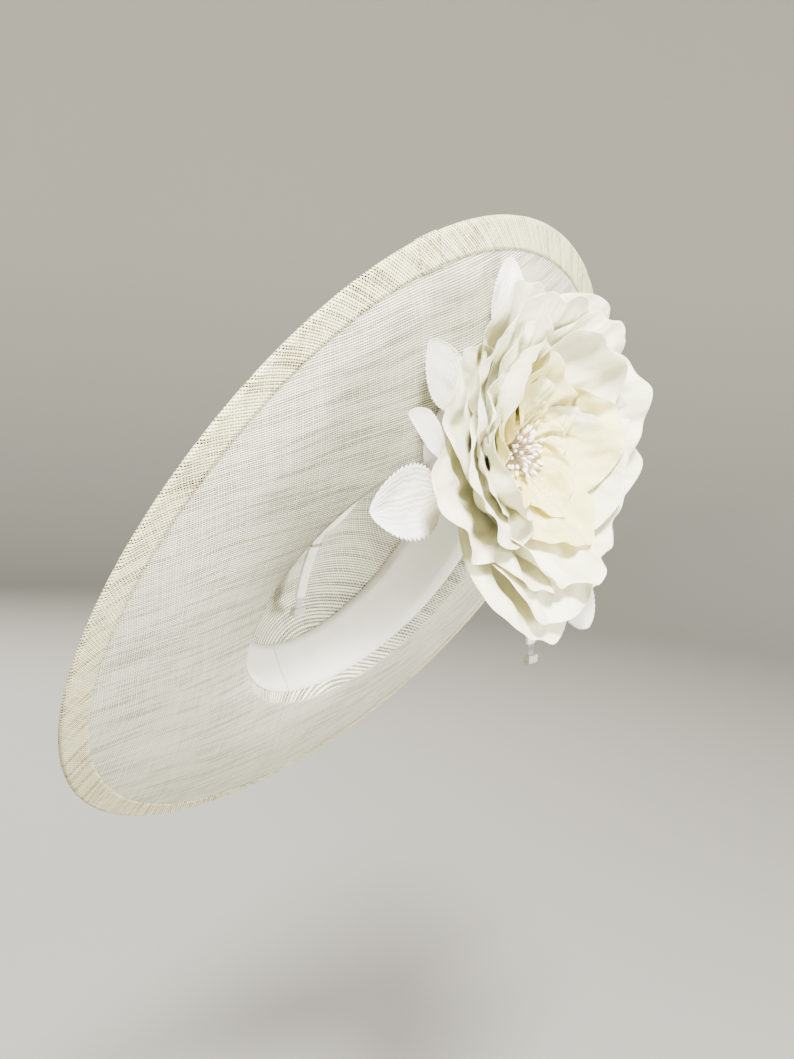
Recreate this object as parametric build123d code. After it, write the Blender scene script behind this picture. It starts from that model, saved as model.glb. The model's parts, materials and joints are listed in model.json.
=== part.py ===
from build123d import *
import os
from math import atan2, cos, degrees, exp, hypot, pi, radians, sin, sqrt

os.makedirs("parts", exist_ok=True)

# Large woven-straw saucer hat worn tilted over the wearer's right temple, with a silk rose under the brim.
# Millimetres. +Z is up as worn, the wearer faces -Y and their left is +X. The origin is the top of the head,
# where the headband's inner face rests.

# ---- hat: brim and crown, drawn in the hat's own frame (its +Z points away from the head) ----
RIM_RADIUS = 205.0
RIM_WAVE = 6.5
RIM_WAVE_TURN = 0.22
HAT_CENTRE = (-40.2, 0.0, -55.0)
SIDE_TILT = 62.5
BACK_TILT = 2.5
OPENING_CENTRE = (4.0, 12.0)
OPENING_LONG = 93.0
OPENING_SHORT = 82.0
OPENING_DEPTH = 30.0
OPENING_LIFT_LOW = 8.0
OPENING_LIFT_FRONT = 8.0
CROWN_TOP = 30.0
CROWN_FULLNESS = 5.0
CROWN_SOFTNESS = 1.3
BRIM_CURL_BACK = 1.3
BRIM_CURL_FRONT = 1.6
BRIM_DROOP = 0.5
BRIM_DROOP_SPREAD = 0.6
GRID_HALF = 216.0
GRID_STEPS = 54
BLOCK_TOLERANCE = 0.5
LAYER = 0.6
LAYER_GAP = 0.05
CLOTH = 2 * LAYER + LAYER_GAP

# ---- rim: millinery wire, its joiner and the folded binding ----
WIRE_SIZE = 0.9
WIRE_OUT = 1.1
WIRE_END_GAP = 0.6
JOINER_TURN = 215.0
JOINER_LENGTH = 9.0
JOINER_HALF = 0.85
JOINER_WALL = 0.2
JOINER_ROOM = 0.55
BINDING_WIDTH = 12.5
BINDING_CLOTH = 0.5
BINDING_OUT = 2.6
FIT_GAP = 0.05

# ---- inside the crown ----
RIBBON_THICKNESS = 0.5
RIBBON_INNER = 0.80
RIBBON_OUTER = 0.96
CROWN_PAD_RADIUS = 26.0
CROWN_PAD_AT = (-9.0, 2.0)
CROWN_PAD_THICKNESS = 4.1
FLOWER_PAD_RADIUS = 24.0
FLOWER_PAD_THICKNESS = 2.0
FLOWER_PAD_CUT = 0.99

# ---- sprung headband ----
HEAD_HALF_WIDTH = 75.0
HEAD_HALF_HEIGHT = 112.0
BAND_Y = 0.0
BAND_WIDTH = 9.0
BAND_THICKNESS = 2.4
CORE_WIDTH = 6.0
CORE_THICKNESS = 0.8
BAND_END_ANGLE = 80.0
BAND_HINGE_ANGLE = 24.0
BAND_SLIT = 0.4
BAND_TIP_ANGLE = 3.2
BAND_TIP_EXTRA = 0.7
STITCH_ANGLES = (-52.0, -40.0, -28.0)
STITCH_THREAD = 0.7

# ---- rose, drawn in its own frame (its +Z is the bloom's axis) ----
FLOWER_BASE = (51.7, -33.1, 9.2)
FLOWER_TURN = -11.4
FLOWER_RISE = 9.0
FLOWER_DISC_RADIUS = 20.0
FLOWER_DISC_THICKNESS = 2.0
FLOWER_STEM_RADIUS = 2.4
FLOWER_STEM_BACK = 20.0
FLOWER_STEM_TOP = 17.0
SEPAL_COUNT = 5
SEPAL_LENGTH = 30.0
SEPAL_WIDTH = 11.0
SEPAL_THICKNESS = 0.5
# one entry per ring of petals, outermost first: petals, radius, height at the tip, height at the root
PETAL_ROWS = (
    ("outer", 7, 83.0, 43.0, 3.4),
    ("second", 6, 75.0, 50.0, 6.2),
    ("third", 5, 62.0, 53.0, 9.0),
    ("fourth", 4, 46.0, 51.0, 11.8),
    ("inner", 3, 31.0, 43.0, 14.6),
)
# where the bloom's outline swells or draws in: angle in degrees, share of the radius, sharpness
PETAL_SWELLS = ((-95.0, 0.17, 2), (40.0, 0.13, 2), (-45.0, -0.12, 4))
PETAL_ROOT = 3.4
PETAL_CURL = 1.4
PETAL_CLOTH = 0.45
PETAL_STEP = 0.75
PETAL_OVERLAP = 1.35
PETAL_ROUND = 0.56
PETAL_PROFILE_POINTS = 6
ROW_TURN = 0.38
STAMEN_COUNT = 30
STAMEN_SPREAD = 11.0
STAMEN_FOOT = 2.0
STAMEN_TOP = 27.0
STAMEN_DOME = 3.0
FILAMENT_RADIUS = 0.25
BEAD_RADIUS = 0.9
BEAD_LENGTH = 3.6
GOLDEN_TURN = pi * (3 - sqrt(5))

# ---- leaves: name, root and tip in the rose's frame, width, roll about the midrib in degrees ----
LEAVES = (
    ("leaf_low_left", (-48.0, -20.0, 11.5), (-99.0, -27.0, 16.0), 38.0, 0.0),
    ("leaf_left", (-40.0, 0.0, 9.5), (-70.0, 20.0, 16.0), 24.0, 20.0),
    ("leaf_high_left", (-30.0, 22.0, 7.5), (-53.0, 55.0, 16.0), 26.0, -15.0),
    ("leaf_top", (-2.0, 58.0, 15.0), (9.0, 100.0, 19.0), 28.0, 0.0),
    ("leaf_right", (66.0, 28.0, 24.0), (102.0, 38.0, 30.0), 26.0, 0.0),
    ("leaf_low_right", (30.0, -66.0, 23.0), (58.0, -93.0, 29.0), 30.0, 0.0),
)
LEAF_THICKNESS = 0.5
LEAF_BULGE_AT = 0.42
MIDRIB_RADIUS = 0.5
MIDRIB_REACH = 0.8
STEM_RADIUS = 0.6
STEM_START = 9.0
STEM_START_HEIGHT = 2.0
STEM_JOINT_GAP = 1.2

TALL = 400.0


def opening_height(turn):
    """Height of the head opening's edge in the hat's frame, at an angle round the opening."""
    return -OPENING_DEPTH + OPENING_LIFT_LOW * cos(turn) + OPENING_LIFT_FRONT * sin(turn)


def rim_height(turn):
    return RIM_WAVE * cos(2 * turn - RIM_WAVE_TURN)


def crown_height(share, turn):
    edge = opening_height(turn)
    return edge + (CROWN_TOP - edge) * (1 - share ** CROWN_FULLNESS) ** CROWN_SOFTNESS


def brim_height(x, y, share, turn):
    """Height of the flared brim between the opening, where share is 1, and the rim."""
    dx = x - OPENING_CENTRE[0]
    dy = y - OPENING_CENTRE[1]
    reach = hypot(dx, dy)
    along = (OPENING_CENTRE[0] * dx + OPENING_CENTRE[1] * dy) / reach
    inside = OPENING_CENTRE[0] ** 2 + OPENING_CENTRE[1] ** 2 - RIM_RADIUS ** 2
    to_rim = -along + sqrt(along ** 2 - inside)
    to_opening = reach / share
    out = (reach - to_opening) / (to_rim - to_opening)
    around = atan2(y, x)
    frontness = 0.5 + 0.5 * sin(around)
    droop = BRIM_DROOP * exp(-(around / BRIM_DROOP_SPREAD) ** 2)
    curl = BRIM_CURL_BACK + (BRIM_CURL_FRONT - BRIM_CURL_BACK) * frontness + droop
    edge = opening_height(turn)
    return edge + (rim_height(around) - edge) * max(out, 0.0) ** curl


def hat_height(x, y):
    """Height of the hat's head-side surface over a point of its plan."""
    dx = (x - OPENING_CENTRE[0]) / OPENING_LONG
    dy = (y - OPENING_CENTRE[1]) / OPENING_SHORT
    share = hypot(dx, dy)
    turn = atan2(dy, dx)
    if share <= 1:
        return crown_height(share, turn)
    return brim_height(x, y, share, turn)


def hat_plane():
    """The hat's frame as worn: tilted over the right temple and a little backwards."""
    side = radians(SIDE_TILT)
    back = radians(BACK_TILT)
    away = Vector(-sin(side) * cos(back), sin(back), cos(side) * cos(back))
    down = Vector(-cos(side), 0, -sin(side))
    down = down - away * down.dot(away)
    return Plane(origin=HAT_CENTRE, x_dir=down, z_dir=away)


def flower_plane():
    turn = radians(FLOWER_TURN)
    rise = radians(FLOWER_RISE)
    axis = Vector(cos(rise) * cos(turn), cos(rise) * sin(turn), sin(rise))
    sideways = Vector(-sin(turn), cos(turn), 0)
    return Plane(origin=FLOWER_BASE, x_dir=sideways, z_dir=axis)


HAT = hat_plane()
FLOWER = flower_plane()


def hat_face():
    """The blocked surface as one smooth face over a square larger than the rim."""
    step = 2 * GRID_HALF / GRID_STEPS
    rows = []
    for i in range(GRID_STEPS + 1):
        x = -GRID_HALF + i * step
        row = []
        for j in range(GRID_STEPS + 1):
            y = -GRID_HALF + j * step
            row.append(Vector(x, y, hat_height(x, y)))
        rows.append(row)
    return Face.make_surface_from_array_of_points(rows, tol=BLOCK_TOLERANCE)


BLOCK = hat_face()


def slab(bottom, top):
    """The blocked surface thickened straight up, from bottom to top above it."""
    face = BLOCK.moved(Location((0, 0, bottom)))
    return Solid.extrude(face, Vector(0, 0, top - bottom))


def disc_tool(radius):
    return Solid.make_cylinder(radius, TALL, Plane(origin=(0, 0, -TALL / 2)))


def oval_tool(share):
    oval = Ellipse(OPENING_LONG * share, OPENING_SHORT * share)
    return extrude(Plane(origin=(*OPENING_CENTRE, -TALL / 2)) * oval, amount=TALL)


def from_hat(shape):
    return HAT.location * Part(shape.wrapped)


def from_flower(shape):
    return FLOWER.location * Part(shape.wrapped)


def brim_layer(bottom):
    return slab(bottom, bottom + LAYER) & disc_tool(RIM_RADIUS)


def rim_ring(inner, outer, bottom, top):
    """Ring that follows the rim, between two radii and two heights measured from the cloth's middle."""
    ring = slab(CLOTH / 2 + bottom, CLOTH / 2 + top)
    return ring & (disc_tool(RIM_RADIUS + outer) - disc_tool(RIM_RADIUS + inner))


def edge_binding():
    """Bias strip folded over the cloth's edge: an upper flap, a lower flap and the wall that joins them."""
    inside = JOINER_HALF + JOINER_ROOM
    outside = inside + BINDING_CLOTH
    wall = BINDING_OUT - BINDING_CLOTH
    upper = rim_ring(-BINDING_WIDTH, wall, inside, outside)
    lower = rim_ring(-BINDING_WIDTH, wall, -outside, -inside)
    fold = rim_ring(wall, BINDING_OUT, -outside, outside)
    return [upper, lower, fold]


def edge_wire():
    """Stay wire round the rim, its ends butted inside the joiner."""
    half = WIRE_SIZE / 2
    slit = Pos(RIM_RADIUS, 0, 0) * Box(8 * BINDING_OUT, WIRE_END_GAP, TALL)
    return rim_ring(WIRE_OUT - half, WIRE_OUT + half, -half, half) - Rot(0, 0, JOINER_TURN) * slit


def wire_point(turn):
    """A point on the wire's centre line, at an angle in degrees round the rim."""
    x = (RIM_RADIUS + WIRE_OUT) * cos(radians(turn))
    y = (RIM_RADIUS + WIRE_OUT) * sin(radians(turn))
    return Vector(x, y, hat_height(x, y) + CLOTH / 2)


def wire_joiner():
    """Short tube that holds the wire's two ends."""
    middle = wire_point(JOINER_TURN)
    along = wire_point(JOINER_TURN + 1) - wire_point(JOINER_TURN - 1)
    frame = Plane(origin=middle, x_dir=along, z_dir=along.cross(Vector(middle.Y, -middle.X, 0).cross(along)))
    tube = Box(JOINER_LENGTH, 2 * JOINER_HALF, 2 * JOINER_HALF)
    bore = 2 * (JOINER_HALF - JOINER_WALL)
    return frame.location * (tube - Box(2 * JOINER_LENGTH, bore, bore))


def headsize_ribbon():
    """Ribbon that lines the opening, lying on the crown wall just inside it."""
    band = slab(-FIT_GAP - RIBBON_THICKNESS, -FIT_GAP)
    return band & (oval_tool(RIBBON_OUTER) - oval_tool(RIBBON_INNER))


def crown_pad():
    column = Pos(*CROWN_PAD_AT, 0) * Cylinder(CROWN_PAD_RADIUS, TALL)
    return slab(-FIT_GAP - CROWN_PAD_THICKNESS, -FIT_GAP) & column


def flower_pad():
    """Felt disc that carries the rose, stitched to the head side of the brim and cut clear of the ribbon."""
    at = HAT.to_local_coords(Vector(*FLOWER_BASE))
    column = Pos(at.X, at.Y, 0) * Cylinder(FLOWER_PAD_RADIUS, TALL) - oval_tool(FLOWER_PAD_CUT)
    return slab(-FIT_GAP - FLOWER_PAD_THICKNESS, -FIT_GAP) & column


def band_slice(width, inner, outer, start, end):
    """Stretch of a flat strip that follows the head from ear to ear, between two angles from the top."""
    head = Plane(origin=(0, BAND_Y + width / 2, -HEAD_HALF_HEIGHT), x_dir=(1, 0, 0), z_dir=(0, -1, 0))
    ring = Ellipse(HEAD_HALF_WIDTH + outer, HEAD_HALF_HEIGHT + outer)
    ring = ring - Ellipse(HEAD_HALF_WIDTH + inner, HEAD_HALF_HEIGHT + inner)
    far = 2 * TALL
    middle = (start + end) / 2
    corners = [(0, 0)]
    for angle in (start, middle, end):
        corners.append((far * sin(radians(angle)), far * cos(radians(angle))))
    wedge = make_face(Polyline(*corners, close=True))
    return extrude(head * (ring & wedge), amount=width)


def band_angle(length):
    """Angle that a length takes on the band near its hinge."""
    return degrees(length / HEAD_HALF_HEIGHT)


def headband_pair(start, end):
    """Steel core and satin wrap of one stretch of the headband."""
    low = (BAND_THICKNESS - CORE_THICKNESS) / 2
    core = band_slice(CORE_WIDTH, low, low + CORE_THICKNESS, start, end)
    high = low + CORE_THICKNESS
    room = band_slice(CORE_WIDTH + 2 * FIT_GAP, low - FIT_GAP, high + FIT_GAP, start - 1, end + 1)
    wrap = band_slice(BAND_WIDTH, 0, BAND_THICKNESS, start, end) - room
    return core, wrap


def band_tip(angle):
    """Soft cap over one end of the headband."""
    side = 1 if angle > 0 else -1
    start, end = sorted((angle, angle + side * BAND_TIP_ANGLE))
    width = BAND_WIDTH + 2 * BAND_TIP_EXTRA
    cap = band_slice(width, -BAND_TIP_EXTRA / 2, BAND_THICKNESS + BAND_TIP_EXTRA, start, end)
    return fillet(cap.edges().filter_by(Axis.Y), BAND_TIP_EXTRA)


def band_stitches():
    """Thread loops that tack the headband into the crown."""
    loops = []
    reach = STITCH_THREAD + FIT_GAP
    for angle in STITCH_ANGLES:
        half = band_angle(STITCH_THREAD)
        start = angle - half
        end = angle + half
        outside = band_slice(BAND_WIDTH + 2 * reach, -reach, BAND_THICKNESS + reach, start, end)
        room = BAND_WIDTH + 2 * FIT_GAP
        inside = band_slice(room, -FIT_GAP, BAND_THICKNESS + FIT_GAP, start - half, end + half)
        loops.append(outside - inside)
    return loops


def flower_disc():
    plate = Cylinder(FLOWER_DISC_RADIUS, FLOWER_DISC_THICKNESS, align=(Align.CENTER, Align.CENTER, Align.MAX))
    return plate - Cylinder(FLOWER_STEM_RADIUS, TALL)


def flower_stem():
    """Wrapped stem from the felt pad on the brim up to the stamens."""
    length = FLOWER_STEM_BACK + FLOWER_STEM_TOP
    return Pos(0, 0, FLOWER_STEM_TOP - length / 2) * Cylinder(FLOWER_STEM_RADIUS, length)


def leaf_outline(length, width):
    """Pointed oval from the root at the origin to the tip along +X."""
    bulge = LEAF_BULGE_AT * length
    upper = Spline((0, 0), (bulge, width / 2), (length, 0))
    lower = Spline((0, 0), (bulge, -width / 2), (length, 0))
    return make_face([upper, lower])


def sepals():
    """Small pointed sepals behind the petals."""
    pieces = []
    for i in range(SEPAL_COUNT):
        blade = extrude(leaf_outline(SEPAL_LENGTH, SEPAL_WIDTH), amount=SEPAL_THICKNESS)
        level = FIT_GAP + (i % 2) * (SEPAL_THICKNESS + FIT_GAP)
        at = Pos(FLOWER_STEM_RADIUS + 1, 0, level)
        pieces.append(Rot(0, 0, 360 * (i + 0.5) / SEPAL_COUNT) * at * blade)
    return pieces


def petal_point(share, radius, tip, root):
    return PETAL_ROOT + (radius - PETAL_ROOT) * share, root + (tip - root) * share ** PETAL_CURL


def petal_reach(turn):
    """Length of a petal as a share of its row's radius: the bloom isn't quite round."""
    reach = 1.0
    for at, amount, sharpness in PETAL_SWELLS:
        reach += amount * max(0.0, cos(radians(turn - at))) ** sharpness
    return reach


def petal(row, index):
    """One cupped petal: a sector of a thin bowl, trimmed round."""
    _, count, radius, tip, root = PETAL_ROWS[row]
    turn = 360 * (index + ROW_TURN * row) / count
    reach = petal_reach(turn)
    level = index % 2
    if count % 2 and index == count - 1:
        level = 2
    root = root + level * PETAL_STEP
    tip = tip + level * PETAL_STEP
    shares = [reach * i / (PETAL_PROFILE_POINTS - 1) for i in range(PETAL_PROFILE_POINTS)]
    below = [petal_point(share, radius, tip, root) for share in shares]
    above = [(x, z + PETAL_CLOTH) for x, z in below]
    lower = Spline(*below)
    upper = Spline(*above)
    sides = [Line(below[0], above[0]), Line(below[-1], above[-1])]
    profile = Plane.XZ * make_face([lower, upper] + sides)
    span = 360 / count * PETAL_OVERLAP
    bowl = revolve(Rot(0, 0, -span / 2) * profile, axis=Axis.Z, revolution_arc=span)
    run = below[-1][0] - below[0][0]
    rise = below[-1][1] - below[0][1]
    slope = atan2(rise, run)
    length = hypot(rise, run)
    middle = (below[0][0] + run / 2, 0, below[0][1] + rise / 2)
    cutter = Plane(origin=middle, z_dir=(-sin(slope), 0, cos(slope))).location
    bowl = bowl & (cutter * Cylinder(PETAL_ROUND * length, TALL))
    return Rot(0, 0, turn) * bowl


def stamen_direction(index):
    """Foot and top of one filament, packed like seeds in a head."""
    share = sqrt((index + 0.5) / STAMEN_COUNT)
    turn = index * GOLDEN_TURN
    foot_height = FLOWER_STEM_TOP + FILAMENT_RADIUS + FIT_GAP
    foot = Vector(STAMEN_FOOT * share * cos(turn), STAMEN_FOOT * share * sin(turn), foot_height)
    top_height = STAMEN_TOP - STAMEN_DOME * share ** 2
    top = Vector(STAMEN_SPREAD * share * cos(turn), STAMEN_SPREAD * share * sin(turn), top_height)
    return foot, top


def stamens():
    """Filaments and their beads, one of each per stamen."""
    filaments = []
    beads = []
    for index in range(STAMEN_COUNT):
        foot, top = stamen_direction(index)
        way = (top - foot).normalized()
        length = (top - foot).length
        filaments.append(Solid.make_cylinder(FILAMENT_RADIUS, length, Plane(origin=foot, z_dir=way)))
        half = BEAD_LENGTH / 2
        side = Spline((0, 0), (BEAD_RADIUS, half), (0, BEAD_LENGTH))
        outline = make_face([side, Line((0, BEAD_LENGTH), (0, 0))])
        bead = revolve(Plane.XZ * outline, axis=Axis.Z)
        beads.append(Plane(origin=top, z_dir=way).location * bead)
    return filaments, beads


def leaf_plane(root, tip, roll):
    """Frame of one leaf: origin at its root, +X to its tip, +Z out of its face."""
    along = (Vector(*tip) - Vector(*root)).normalized()
    across = Vector(0, 0, 1).cross(along).normalized()
    frame = Plane(origin=root, x_dir=along, z_dir=along.cross(across))
    return frame.location * Rot(roll, 0, 0)


def leaf(root, tip, width, roll):
    """Cloth blade and the wire glued under its midrib."""
    length = (Vector(*tip) - Vector(*root)).length
    place = leaf_plane(root, tip, roll)
    blade = place * extrude(leaf_outline(length, width), amount=LEAF_THICKNESS)
    standing = Cylinder(MIDRIB_RADIUS, length * MIDRIB_REACH, align=(Align.CENTER, Align.CENTER, Align.MIN))
    midrib = place * Pos(0, 0, -MIDRIB_RADIUS - FIT_GAP) * Rot(0, 90, 0) * standing
    return blade, midrib


def leaf_stem(root, tip):
    """Wrapped wire from the back of the rose to a leaf's root."""
    reach = hypot(root[0], root[1])
    start = Vector(root[0] / reach * STEM_START, root[1] / reach * STEM_START, STEM_START_HEIGHT)
    along = (Vector(*tip) - Vector(*root)).normalized()
    end = Vector(*root) - along * STEM_JOINT_GAP - Vector(0, 0, MIDRIB_RADIUS + FIT_GAP)
    way = end - start
    return Solid.make_cylinder(STEM_RADIUS, way.length, Plane(origin=start, z_dir=way.normalized()))


def save(name, shapes):
    if not isinstance(shapes, list):
        shapes = [shapes]
    solids = []
    for shape in shapes:
        solids.extend(shape.solids())
    node = Compound(children=solids) if len(solids) > 1 else solids[0]
    node.label = name
    export_step(node, f"parts/{name}.step")


def build_hat():
    inner = brim_layer(0.0)
    outer = brim_layer(LAYER + LAYER_GAP)
    save("brim_inner_layer", from_hat(inner))
    save("brim_outer_layer", from_hat(outer))
    save("edge_binding", [from_hat(piece) for piece in edge_binding()])
    save("edge_wire", from_hat(edge_wire()))
    save("wire_joiner", from_hat(wire_joiner()))
    save("headsize_ribbon", from_hat(headsize_ribbon()))
    save("crown_pad", from_hat(crown_pad()))
    save("flower_pad", from_hat(flower_pad()))


def build_headband():
    slit = band_angle(BAND_SLIT / 2)
    core, wrap = headband_pair(-BAND_END_ANGLE, BAND_HINGE_ANGLE - slit)
    save("headband_core", core)
    save("headband_wrap", wrap)
    arm_core, arm_wrap = headband_pair(BAND_HINGE_ANGLE + slit, BAND_END_ANGLE)
    save("headband_arm_core", arm_core)
    save("headband_arm_wrap", arm_wrap)
    save("headband_tip_right", band_tip(-BAND_END_ANGLE))
    save("headband_tip_left", band_tip(BAND_END_ANGLE))
    save("headband_stitches", band_stitches())


def build_rose():
    pad_side = from_hat(slab(-FIT_GAP - FLOWER_PAD_THICKNESS, TALL / 2))
    stem = from_flower(flower_stem()) - pad_side
    save("flower_stem", stem)
    save("flower_disc", from_flower(flower_disc()))
    save("sepals", [from_flower(piece) for piece in sepals()])
    for row, (name, count, *_) in enumerate(PETAL_ROWS):
        for index in range(count):
            save(f"petal_{name}_{index + 1}", from_flower(petal(row, index)))
    filaments, beads = stamens()
    save("stamen_filaments", [from_flower(piece) for piece in filaments])
    save("stamen_beads", [from_flower(piece) for piece in beads])


def build_leaves():
    stems = []
    for name, root, tip, width, roll in LEAVES:
        blade, midrib = leaf(root, tip, width, roll)
        save(name, from_flower(blade))
        save(f"{name}_midrib", from_flower(midrib))
        stems.append(from_flower(leaf_stem(root, tip)))
    save("leaf_stems", stems)


build_hat()
build_headband()
build_rose()
build_leaves()
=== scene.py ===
import json
import math
from math import atan2, cos, exp, hypot, pi, radians, sin, sqrt

import bpy
from mathutils import Matrix, Vector, noise

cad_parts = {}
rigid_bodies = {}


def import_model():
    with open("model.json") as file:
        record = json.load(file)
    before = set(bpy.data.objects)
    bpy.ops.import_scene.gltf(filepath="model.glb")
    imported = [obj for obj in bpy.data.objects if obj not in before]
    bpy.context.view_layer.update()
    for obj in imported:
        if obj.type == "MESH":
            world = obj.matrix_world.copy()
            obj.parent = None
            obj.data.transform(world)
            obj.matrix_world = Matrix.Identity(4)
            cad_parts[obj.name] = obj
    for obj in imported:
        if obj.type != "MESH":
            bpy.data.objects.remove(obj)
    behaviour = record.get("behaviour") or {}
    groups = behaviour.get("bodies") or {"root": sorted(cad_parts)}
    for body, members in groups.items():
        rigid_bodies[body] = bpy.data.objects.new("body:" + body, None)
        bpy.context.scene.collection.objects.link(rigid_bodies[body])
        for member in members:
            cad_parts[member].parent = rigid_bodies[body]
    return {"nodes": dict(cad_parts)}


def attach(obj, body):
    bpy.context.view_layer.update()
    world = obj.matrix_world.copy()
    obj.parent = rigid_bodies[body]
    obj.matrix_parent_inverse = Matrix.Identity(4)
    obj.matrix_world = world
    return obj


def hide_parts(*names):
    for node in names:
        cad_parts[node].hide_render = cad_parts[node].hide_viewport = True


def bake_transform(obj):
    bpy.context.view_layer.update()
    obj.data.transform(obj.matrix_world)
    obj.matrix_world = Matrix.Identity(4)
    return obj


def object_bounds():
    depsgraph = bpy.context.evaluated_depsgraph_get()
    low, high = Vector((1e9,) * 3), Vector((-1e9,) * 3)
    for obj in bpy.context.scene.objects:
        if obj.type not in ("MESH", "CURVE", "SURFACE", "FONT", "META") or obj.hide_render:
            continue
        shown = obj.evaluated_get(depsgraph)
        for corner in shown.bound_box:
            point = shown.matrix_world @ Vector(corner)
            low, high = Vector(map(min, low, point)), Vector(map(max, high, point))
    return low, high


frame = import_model()
CAD_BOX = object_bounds()

MM = 0.001
UP = Vector((0, 0, 1))

# noise_vector starts from the clock unless it is seeded; this seed gives the dents and stamens chosen
NOISE_SEED = 1794899479
noise.seed_set(NOISE_SEED)

# ---- the hat's own frame and surface
RIM_RADIUS = 205.0 * MM
RIM_WAVE = 6.5 * MM
RIM_WAVE_TURN = 0.22
HAT_CENTRE = Vector((-40.2, 0.0, -55.0)) * MM
SIDE_TILT = radians(62.5)
BACK_TILT = radians(2.5)
OPENING_CENTRE = (4.0 * MM, 12.0 * MM)
OPENING_LONG = 93.0 * MM
OPENING_SHORT = 82.0 * MM
OPENING_DEPTH = 30.0 * MM
OPENING_LIFT_LOW = 8.0 * MM
OPENING_LIFT_FRONT = 8.0 * MM
CROWN_TOP = 30.0 * MM
CROWN_FULLNESS = 5.0
CROWN_SOFTNESS = 1.3
BRIM_CURL_BACK = 1.3
BRIM_CURL_FRONT = 1.6
BRIM_DROOP = 0.5
BRIM_DROOP_SPREAD = 0.6
LAYER = 0.6 * MM
LAYER_GAP = 0.05 * MM
CLOTH = 2 * LAYER + LAYER_GAP
GRAIN_TURN = radians(66)

HAT_Z = Vector((-sin(SIDE_TILT) * cos(BACK_TILT), sin(BACK_TILT), cos(SIDE_TILT) * cos(BACK_TILT)))
HAT_X = Vector((-cos(SIDE_TILT), 0, -sin(SIDE_TILT)))
HAT_X = (HAT_X - HAT_Z * HAT_X.dot(HAT_Z)).normalized()
HAT_Y = HAT_Z.cross(HAT_X)


def opening_height(turn):
    return -OPENING_DEPTH + OPENING_LIFT_LOW * cos(turn) + OPENING_LIFT_FRONT * sin(turn)


def rim_height(turn):
    return RIM_WAVE * cos(2 * turn - RIM_WAVE_TURN)


def hat_height(x, y):
    """Height of the blocked cloth over a point of the hat's plan."""
    dx = x - OPENING_CENTRE[0]
    dy = y - OPENING_CENTRE[1]
    share = hypot(dx / OPENING_LONG, dy / OPENING_SHORT)
    edge = opening_height(atan2(dy / OPENING_SHORT, dx / OPENING_LONG))
    if share <= 1:
        return edge + (CROWN_TOP - edge) * (1 - share ** CROWN_FULLNESS) ** CROWN_SOFTNESS
    reach = hypot(dx, dy)
    along = (OPENING_CENTRE[0] * dx + OPENING_CENTRE[1] * dy) / reach
    inside = OPENING_CENTRE[0] ** 2 + OPENING_CENTRE[1] ** 2 - RIM_RADIUS ** 2
    to_rim = -along + sqrt(along ** 2 - inside)
    to_opening = reach / share
    out = max((reach - to_opening) / (to_rim - to_opening), 0.0)
    around = atan2(y, x)
    frontness = 0.5 + 0.5 * sin(around)
    droop = BRIM_DROOP * exp(-(around / BRIM_DROOP_SPREAD) ** 2)
    curl = BRIM_CURL_BACK + (BRIM_CURL_FRONT - BRIM_CURL_BACK) * frontness + droop
    return edge + (rim_height(around) - edge) * out ** curl


def hat_point(x, y, lift=0.0):
    return HAT_CENTRE + HAT_X * x + HAT_Y * y + HAT_Z * (hat_height(x, y) + lift)


# ---- mesh helpers
def make_mesh(name, points, faces, uvs=None, smooth=True):
    mesh = bpy.data.meshes.new(name)
    mesh.from_pydata([tuple(p) for p in points], [], faces)
    if uvs is not None:
        layer = mesh.uv_layers.new(name="cloth")
        for loop in mesh.loops:
            layer.data[loop.index].uv = uvs[loop.vertex_index]
    for polygon in mesh.polygons:
        polygon.use_smooth = smooth
    mesh.update()
    obj = bpy.data.objects.new(name, mesh)
    bpy.context.collection.objects.link(obj)
    return obj


def grid_faces(rows, columns, closed=False):
    """Quads of a grid of rows by columns of points, its columns joined round when closed."""
    faces = []
    for i in range(rows - 1):
        for j in range(columns if closed else columns - 1):
            k = (j + 1) % columns
            faces.append((i * columns + j, i * columns + k, (i + 1) * columns + k, (i + 1) * columns + j))
    return faces


def thicken(obj, thickness, offset=0.0):
    modifier = obj.modifiers.new("cloth", "SOLIDIFY")
    modifier.thickness = thickness
    modifier.offset = offset
    modifier.use_even_offset = False
    return obj


def subdivide(obj, levels=1):
    modifier = obj.modifiers.new("smooth", "SUBSURF")
    modifier.levels = levels
    modifier.render_levels = levels
    return obj


def tube(name, path, radius, sides=10, taper=None):
    """Closed tube along a list of points, its ends capped; taper gives the radius share along it."""
    points = []
    count = len(path)
    side = None
    for i, at in enumerate(path):
        ahead = path[min(i + 1, count - 1)] - path[max(i - 1, 0)]
        ahead.normalize()
        if side is None:
            side = ahead.cross(UP if abs(ahead.z) < 0.9 else Vector((1, 0, 0)))
        side = (side - ahead * side.dot(ahead)).normalized()
        other = ahead.cross(side)
        here = radius * (taper(i / (count - 1)) if taper else 1)
        for j in range(sides):
            turn = 2 * pi * j / sides
            points.append(at + (side * cos(turn) + other * sin(turn)) * here)
    faces = grid_faces(count, sides, closed=True)
    faces.append(tuple(reversed(range(sides))))
    faces.append(tuple(range((count - 1) * sides, count * sides)))
    uvs = [((k % sides) / sides, k // sides / count) for k in range(len(points))]
    return make_mesh(name, points, faces, uvs)


def join(name, objects):
    """Several meshes of one material made one object."""
    bpy.ops.object.select_all(action="DESELECT")
    for obj in objects:
        obj.select_set(True)
    bpy.context.view_layer.objects.active = objects[0]
    bpy.ops.object.join()
    objects[0].name = name
    objects[0].data.name = name
    return objects[0]


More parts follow.
